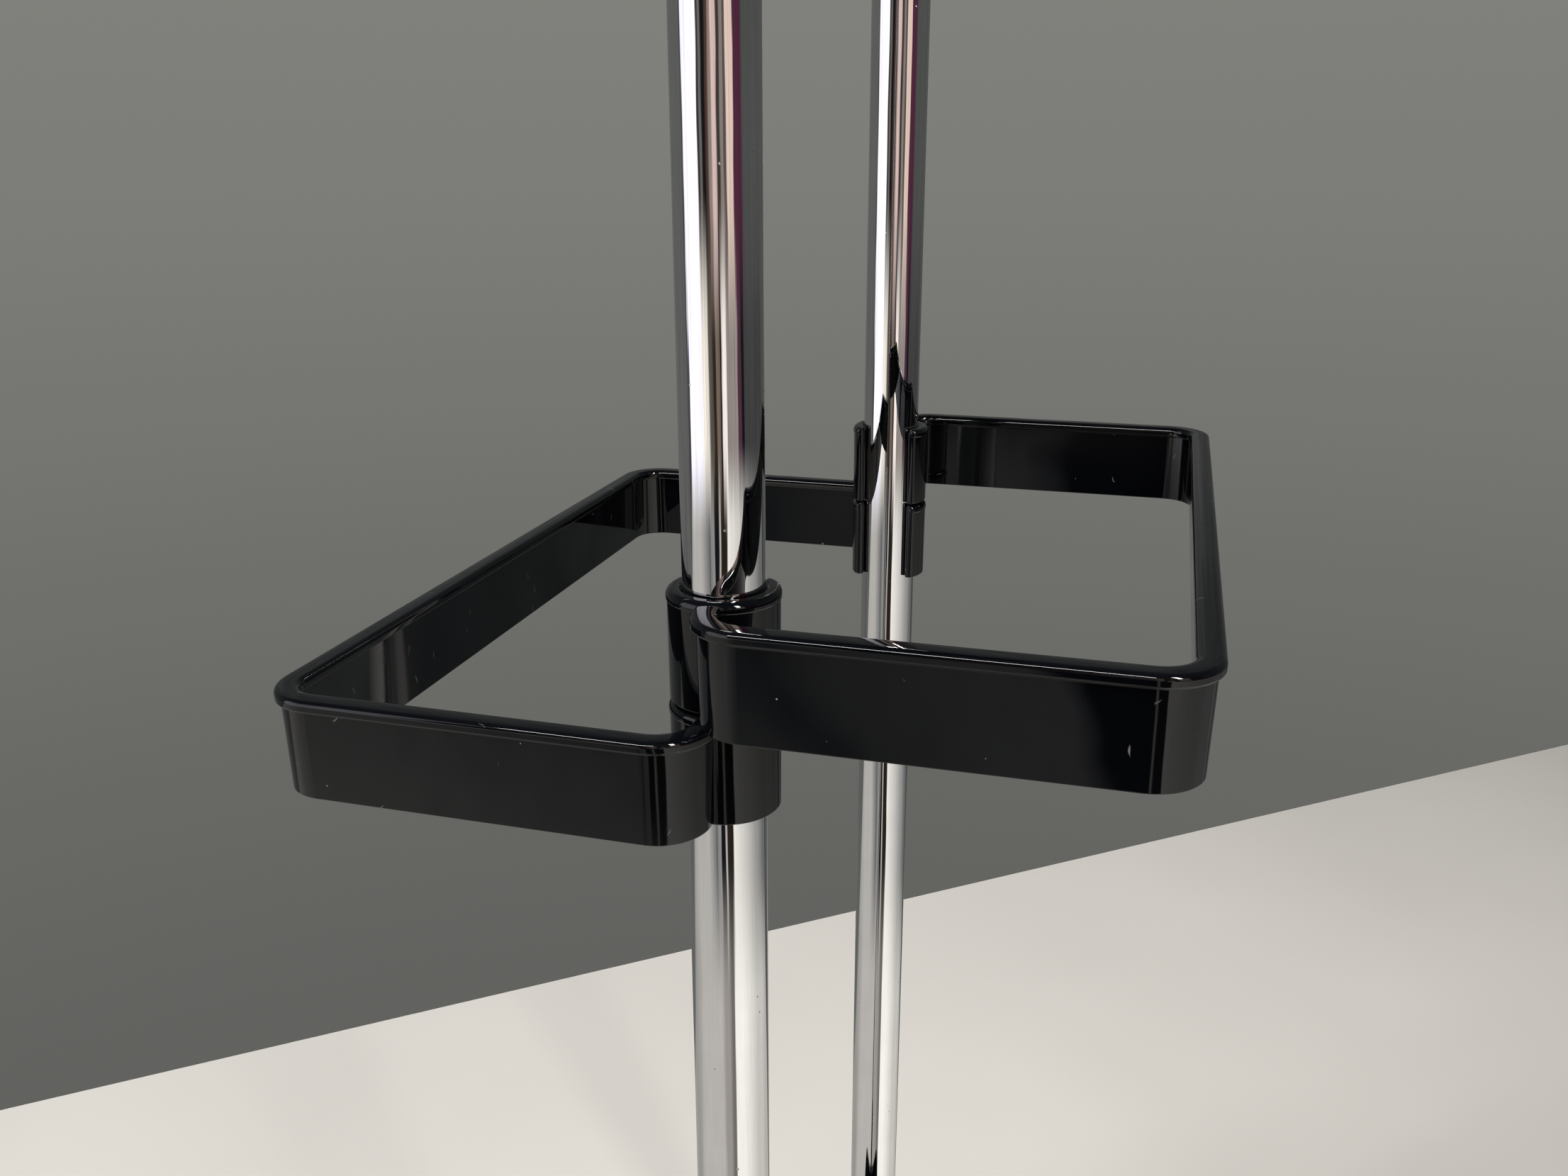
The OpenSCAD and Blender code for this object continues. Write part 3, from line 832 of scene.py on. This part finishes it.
def place_camera():
    """The camera at the photograph's angle, placed from the top of the front loop."""
    yaw, pitch, roll = radians(15.80), radians(-18.31), radians(-0.09)
    forward = Vector((cos(pitch) * cos(yaw), cos(pitch) * sin(yaw), sin(pitch)))
    right = forward.cross(Vector((0, 0, 1))).normalized()
    up = right.cross(forward)
    right, up = right * cos(roll) + up * sin(roll), up * cos(roll) - right * sin(roll)
    camera = bpy.data.objects.new("camera", bpy.data.cameras.new("camera"))
    bpy.context.scene.collection.objects.link(camera)
    camera.data.sensor_width = 36
    camera.data.lens = 30.86
    x, y, above_loop = -0.4862, -0.1208, 0.125
    place = Matrix.Translation((x, y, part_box("front_trouser_loop")[1].z + above_loop))
    camera.matrix_world = place @ Matrix((right, up, -forward)).transposed().to_4x4()
    bpy.context.scene.camera = camera


def area_light(name, place, target, size, power, colour=(1, 1, 1), *, lights=True, mirrored=False):
    """A soft light that lights dull surfaces, shows in glossy ones as a highlight, or both."""
    light = bpy.data.lights.new(name, "AREA")
    light.shape = "RECTANGLE"
    light.size, light.size_y = size
    light.energy = power
    light.color = colour
    obj = bpy.data.objects.new(name, light)
    bpy.context.scene.collection.objects.link(obj)
    obj.location = place
    obj.rotation_euler = (Vector(target) - Vector(place)).to_track_quat("-Z", "Y").to_euler()
    obj.visible_diffuse = lights
    obj.visible_glossy = mirrored


# The studio all round the stand, as bands of tone: each starts at an angle in degrees round from
# +X and runs to the next. A third value is half the width of the blend at its start, in degrees.
# The bands aren't free choices and aren't plain studio light. Scratch programs worked out brightness
# by direction from the reflections in the photograph. The bands were rounded from that fit and then
# adjusted against the photograph's tones. This is an open fault.
GAP = (0.012, 0.012, 0.014)
DIM = (0.07, 0.07, 0.07)
ROOM = (0.150, 0.155, 0.148)
SCREEN = (1.55, 1.50, 1.66)
UPPER_BANDS = [
    (0, ROOM),
    (101, DIM),
    (106, SCREEN),
    (149, (0.05, 0.04, 0.04)),
    (155, (0.20, 0.19, 0.17)),
    (161, GAP),
    (171, (0.10, 0.055, 0.04)),
    (178, (0.38, 0.31, 0.28)),
    (186, (0.95, 0.70, 0.64)),
    (198, (0.06, 0.055, 0.05)),
    (206, (0.34, 0.28, 0.25)),
    (214, (0.12, 0.11, 0.10)),
    (221, (1.05, 0.80, 0.68)),
    (239, (0.10, 0.03, 0.06)),
    (262, (0.10, 0.105, 0.10))]
MIDDLE_BANDS = [
    (0, ROOM),
    (102, DIM),
    (110, SCREEN),
    (151, (1.20, 1.12, 0.98)),
    (168, (0.14, 0.12, 0.10)),
    (179, (0.04, 0.03, 0.02)),
    (187, (0.24, 0.18, 0.14)),
    (197, GAP),
    (202, (1.30, 1.18, 1.10)),
    (214, (0.40, 0.35, 0.32)),
    (243, (0.10, 0.04, 0.07)),
    (253, GAP),
    (262, DIM),
    (325, (0.075, 0.078, 0.075))]
LOWER_BANDS = [
    (0, (0.42, 0.41, 0.38)),
    (90, (0.64, 0.62, 0.58), 14),
    (149, (0.28, 0.28, 0.275), 10),
    (162.5, (0.13, 0.135, 0.13), 1.5),
    (166, (0.30, 0.30, 0.295), 1.5),
    (171, (0.38, 0.38, 0.38), 3),
    (177.6, GAP, 0.4),
    (189.5, (0.75, 0.72, 0.66)),
    (193.5, (0.03, 0.022, 0.016)),
    (212, (1.20, 1.17, 1.08)),
    (250, (0.45, 0.44, 0.42), 34),
    (302, (0.19, 0.195, 0.19), 14),
    (328.8, (0.08, 0.085, 0.085)),
    (337, GAP),
    (339, (0.13, 0.13, 0.13))]
FLOOR_BANDS = [
    (0, (0.58, 0.56, 0.51)),
    (98, (0.68, 0.655, 0.61), 16),
    (178, (0.46, 0.43, 0.40), 5),
    (199, (0.24, 0.22, 0.19), 4),
    (211, (1.35, 1.32, 1.22)),
    (262, (0.80, 0.78, 0.72), 26),
    (318, (0.60, 0.585, 0.54), 10)]
PLAIN_BLEND = 1.0          # half the width of a band's blend, in degrees, where it has no own
LAST_BLEND = 357           # from here on the last band turns into the first
# Heights on the unit sphere where one set of bands gives way to the next below it, and the blends'
# widths
LEVELS = ((-0.09, 0.12), (-0.245, 0.07), (-0.535, 0.09))
OVERHEAD, OVERHEAD_LEVEL = (0.07, 0.07, 0.075), (0.55, 0.25)
# The lower bands lean: between these heights they turn by these angles
LEAN_HEIGHTS = (-0.477, -0.419)
LEAN_TURNS = (radians(-2.4), radians(1.8))
# Fine upright streaks, stronger above these heights than below
STREAK_HEIGHTS, STREAK_STRENGTHS = (-0.30, -0.20), (0.35, 1.3)
STREAK_STRETCH, STREAK_MEAN = (40, 40, 1.6), 0.48
# A slow waver in the bands' edges
WAVER, WAVER_STRETCH, WAVER_SCALE = 0.02, (1, 1, 5), 2.2
# The backdrop stands square to this compass direction, and its foot is seen this steeply below
BACKDROP_TURN = radians(38.5)
BACKDROP_SLOPE = 0.78
# The backdrop is painted lighter at its top and darker at its foot: painted shade for the fall of light
# down the wall
BACKDROP_TOP, BACKDROP_FOOT = (0.225, 0.224, 0.208), (0.118, 0.120, 0.112)
BACKDROP_LEVEL = (-0.22, 0.9)


class Studio(NodeKit):
    """The world's node tree, with bands round the compass and blends between heights."""

    def __init__(self, world):
        world.use_nodes = True
        super().__init__(world.node_tree)
        self.tree.nodes.clear()

    def noise(self, vector, stretch, scale):
        placed = self.add("ShaderNodeMapping", {"Vector": vector, "Scale": stretch}).outputs[0]
        return self.add("ShaderNodeTexNoise", {
            "Vector": placed, "Scale": scale, "Detail": 2.0}).outputs[0]

    def bands(self, around, bands):
        """A ramp round the compass: each band is even, with a blend at its start."""
        ramp = self.add("ShaderNodeValToRGB", {"Fac": around})
        stops = ramp.color_ramp.elements
        stops.remove(stops[1])
        stops[0].position = 0
        stops[0].color = (*bands[0][1], 1)
        for (_, before, *_), (start, colour, *own) in zip(bands, bands[1:]):
            blur = own[0] if own else PLAIN_BLEND
            for degrees, tone in ((start - blur, before), (start + blur, colour)):
                stops.new(degrees / 360).color = (*tone, 1)
        stops.new(LAST_BLEND / 360).color = (*bands[-1][1], 1)
        stops.new(1.0).color = (*bands[0][1], 1)
        return ramp.outputs["Color"]

    def blend(self, height, level, above, below):
        """The colour above a level (its middle and width) and the colour below it."""
        middle, width = level
        share = self.add("ShaderNodeMapRange", {
            "Value": height, "From Min": middle - width / 2, "From Max": middle + width / 2},
            interpolation_type="SMOOTHSTEP").outputs["Result"]
        return self.mix_colour(share, below, above)

    def remap(self, value, values, results):
        return self.add("ShaderNodeMapRange", {
            "Value": value, "From Min": values[0], "From Max": values[1],
            "To Min": results[0], "To Max": results[1]}).outputs["Result"]

    def compass(self, direction, x, y):
        """0 to 1 round the compass from +X, wavering a little."""
        turn = self.maths("DIVIDE", self.maths("ARCTAN2", y, x), 2 * pi)
        turn = self.maths("SUBTRACT", turn, WAVER / 2)
        waver = self.noise(direction, WAVER_STRETCH, WAVER_SCALE)
        return self.maths("FRACT", self.maths("MULTIPLY_ADD", waver, WAVER, turn))

    def lifted(self, direction, z):
        """Height, raised where the backdrop's face would hide the lower part of the room."""
        facing = (BACKDROP_SLOPE * cos(BACKDROP_TURN), BACKDROP_SLOPE * sin(BACKDROP_TURN), 0)
        towards = self.add("ShaderNodeVectorMath", {0: direction, 1: facing}, operation="DOT_PRODUCT")
        lift = self.maths("ADD", towards.outputs["Value"], LEVELS[1][0])
        return self.maths("ADD", z, self.maths("MAXIMUM", lift, 0.0))

    def streaked(self, colour, direction, height):
        strength = self.remap(height, STREAK_HEIGHTS, STREAK_STRENGTHS)
        streaks = self.maths("SUBTRACT", self.noise(direction, STREAK_STRETCH, 1.0), STREAK_MEAN)
        scale = self.maths("MULTIPLY_ADD", streaks, strength, 1.0)
        return self.add("ShaderNodeVectorMath", {0: colour, "Scale": scale}, operation="SCALE").outputs[0]


def studio_world():
    """What the stand mirrors and is lit by: the bands. What the camera sees behind it: the backdrop."""
    world = bpy.data.worlds.new("studio")
    bpy.context.scene.world = world
    w = Studio(world)
    direction = w.add("ShaderNodeTexCoord").outputs["Generated"]
    x, y, z = w.add("ShaderNodeSeparateXYZ", {0: direction}).outputs
    around = w.compass(direction, x, y)
    height = w.lifted(direction, z)
    lean = w.remap(height, LEAN_HEIGHTS, [turn / (2 * pi) for turn in LEAN_TURNS])
    leaning = w.maths("ADD", around, lean)
    colour = w.blend(z, OVERHEAD_LEVEL, (*OVERHEAD, 1), w.bands(around, UPPER_BANDS))
    for level, lower, where in zip(LEVELS, (MIDDLE_BANDS, LOWER_BANDS, FLOOR_BANDS),
                                   (around, leaning, around)):
        colour = w.blend(height, level, colour, w.bands(where, lower))
    colour = w.streaked(colour, direction, height)
    lighting = w.add("ShaderNodeBackground", {"Color": colour}).outputs[0]
    # painted shade: the backdrop darkens towards its foot
    backdrop = w.blend(z, BACKDROP_LEVEL, (*BACKDROP_TOP, 1), (*BACKDROP_FOOT, 1))
    seen = w.add("ShaderNodeBackground", {"Color": backdrop}).outputs[0]
    direct = w.add("ShaderNodeLightPath").outputs["Is Camera Ray"]
    mix = w.add("ShaderNodeMixShader", {0: direct, 1: lighting, 2: seen}).outputs[0]
    w.add("ShaderNodeOutputWorld", {0: mix})


def floor():
    """A pale floor that ends a little behind the stand, where the backdrop begins."""
    pale, paler = (0.52, 0.505, 0.468, 1), (0.57, 0.555, 0.515, 1)
    s = Shader("floor", IOR=1.45)
    tone = s.noise(s.place, 3, detail=5)
    s.drive("Base Color", s.mix_colour(tone, pale, paler))
    s.drive("Roughness", s.remap(tone, 0.3, 0.7, 0.55, 0.7))
    reach, behind = 6.0, 0.74
    east, north = cos(BACKDROP_TURN), sin(BACKDROP_TURN)
    corners = [(behind, -reach), (behind, reach), (-reach, reach), (-reach, -reach)]
    mesh = bpy.data.meshes.new("floor")
    mesh.from_pydata([(x * east - y * north, x * north + y * east, 0) for x, y in corners],
                     [], [(0, 1, 2, 3)])
    plane = bpy.data.objects.new("floor", mesh)
    bpy.context.scene.collection.objects.link(plane)
    mesh.materials.append(s.material)
    plane.visible_glossy = False   # FLOOR_BANDS stand in for the floor in reflections


place_camera()
studio_world()
floor()
# Key and strip don't show in reflections, where they would put lines that the photograph hasn't.
# The glint lights nothing and only draws the thin lines along the loops' lips.
MIDDLE_OF_STAND, MIDDLE_OF_LOOPS = (0, 0, 0.6), (0, 0, 0.7)
area_light("key", (-0.5, 0.6, 2.6), MIDDLE_OF_STAND, (0.22, 1.6), 58, (1.0, 0.99, 0.98))
area_light("fill", (-1.2, -1.2, 2.1), MIDDLE_OF_STAND, (0.25, 1.1), 34, (1.0, 0.97, 0.94), mirrored=True)
area_light("strip", (0.8, 1.2, 2.4), MIDDLE_OF_STAND, (0.12, 1.4), 26)
area_light("glint", (-1.6, 0.35, 2.05), MIDDLE_OF_LOOPS, (1.3, 0.12), 22, lights=False, mirrored=True)
bpy.context.scene.view_settings.view_transform = "Standard"
